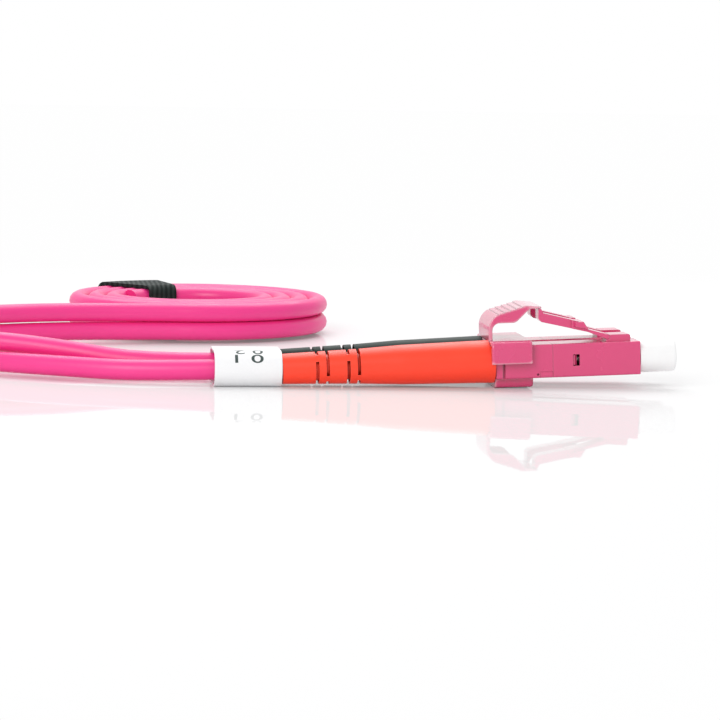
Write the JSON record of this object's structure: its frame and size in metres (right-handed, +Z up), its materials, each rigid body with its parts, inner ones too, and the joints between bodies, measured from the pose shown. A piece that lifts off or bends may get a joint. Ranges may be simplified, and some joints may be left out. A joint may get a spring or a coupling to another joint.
{
  "type": "lc fibre connector",
  "caption": "Duplex LC fibre plug with latch arms, a shared trigger clip, dust caps, bend-relief boots, a wrap label and short cable legs tied in a flat hank.",
  "frame": {"origin": "on the table, under the middle of the connector without its cables", "axes": "+X along the connector towards the plug noses, +Y from the orange-boot half to the black-boot half, +Z up"},
  "size_m": [0.1057, 0.1028, 0.0112],
  "materials": {
    "pink_plastic": "satin moulded plastic, magenta pink",
    "orange_boot": "satin soft plastic, orange red",
    "black_boot": "satin soft plastic, black",
    "cap_plastic": "smooth white plastic",
    "label_paper": "matt white label with plain numerals",
    "cable_jacket": "satin extruded jacket, hot pink",
    "strap_fabric": "woven hook-and-loop tape, black",
    "white_ceramic": "polished white ceramic",
    "holder_metal": "turned nickel-plated metal",
    "spring_steel": "bright spring wire",
    "crimp_metal": "crimped soft metal tube",
    "fibre_buffer": "tight fibre buffer, yellow"
  },
  "bodies": {
    "connector": {"boot_a": "orange_boot", "boot_b": "black_boot", "cable_hank_a": "cable_jacket", "cable_hank_b": "cable_jacket", "cable_leg_a": "cable_jacket", "cable_leg_b": "cable_jacket", "crimp_sleeve_a": "crimp_metal", "crimp_sleeve_b": "crimp_metal", "duplex_clip": "pink_plastic", "ferrule_spring_a": "spring_steel", "ferrule_spring_b": "spring_steel", "hank_strap": "strap_fabric", "label": "label_paper", "plug_housing_a": "pink_plastic", "plug_housing_b": "pink_plastic", "rear_body_a": "pink_plastic", "rear_body_b": "pink_plastic"},
    "trigger_arm": {"trigger": "pink_plastic"},
    "latch_arm_a": {"latch_a": "pink_plastic"},
    "cap_a": {"dust_cap_a": "cap_plastic"},
    "ferrule_unit_a": {"ferrule_a": "white_ceramic", "ferrule_holder_a": "holder_metal", "buffered_fibre_a": "fibre_buffer"},
    "latch_arm_b": {"latch_b": "pink_plastic"},
    "cap_b": {"dust_cap_b": "cap_plastic"},
    "ferrule_unit_b": {"ferrule_b": "white_ceramic", "ferrule_holder_b": "holder_metal", "buffered_fibre_b": "fibre_buffer"}
  },
  "joints": [
    {"name": "trigger_press", "type": "hinge", "parent": "connector", "child": "trigger_arm", "pos_m": [0.00587, 0, 0.00649], "axis": [0, 1, 0], "range_deg": [0, 10], "stiffness_Nm_per_rad": 0.0002},
    {"name": "latch_a_press", "type": "hinge", "parent": "connector", "child": "latch_arm_a", "pos_m": [0.02171, -0.00313, 0.00716], "axis": [0, -1, 0], "range_deg": [0, 7], "stiffness_Nm_per_rad": 0.0002},
    {"name": "cap_a_pull", "type": "slide", "parent": "connector", "child": "cap_a", "axis": [0.9991, 0, 0.0417], "range_m": [0, 0.025]},
    {"name": "ferrule_a_float", "type": "slide", "parent": "connector", "child": "ferrule_unit_a", "axis": [-0.9991, 0, -0.0417], "range_m": [0, 0.0008], "stiffness_N_per_m": 50, "deforming": ["ferrule_spring_a"]},
    {"name": "latch_b_press", "type": "hinge", "parent": "connector", "child": "latch_arm_b", "pos_m": [0.02171, 0.00313, 0.00716], "axis": [0, -1, 0], "range_deg": [0, 7], "stiffness_Nm_per_rad": 0.0002},
    {"name": "cap_b_pull", "type": "slide", "parent": "connector", "child": "cap_b", "axis": [0.9991, 0, 0.0417], "range_m": [0, 0.025]},
    {"name": "ferrule_b_float", "type": "slide", "parent": "connector", "child": "ferrule_unit_b", "axis": [-0.9991, 0, -0.0417], "range_m": [0, 0.0008], "stiffness_N_per_m": 50, "deforming": ["ferrule_spring_b"]}
  ],
  "couplings": [
    {"joint": "latch_a_press", "follows": "trigger_press", "ratio": 0.7},
    {"joint": "latch_b_press", "follows": "trigger_press", "ratio": 0.7}
  ]
}
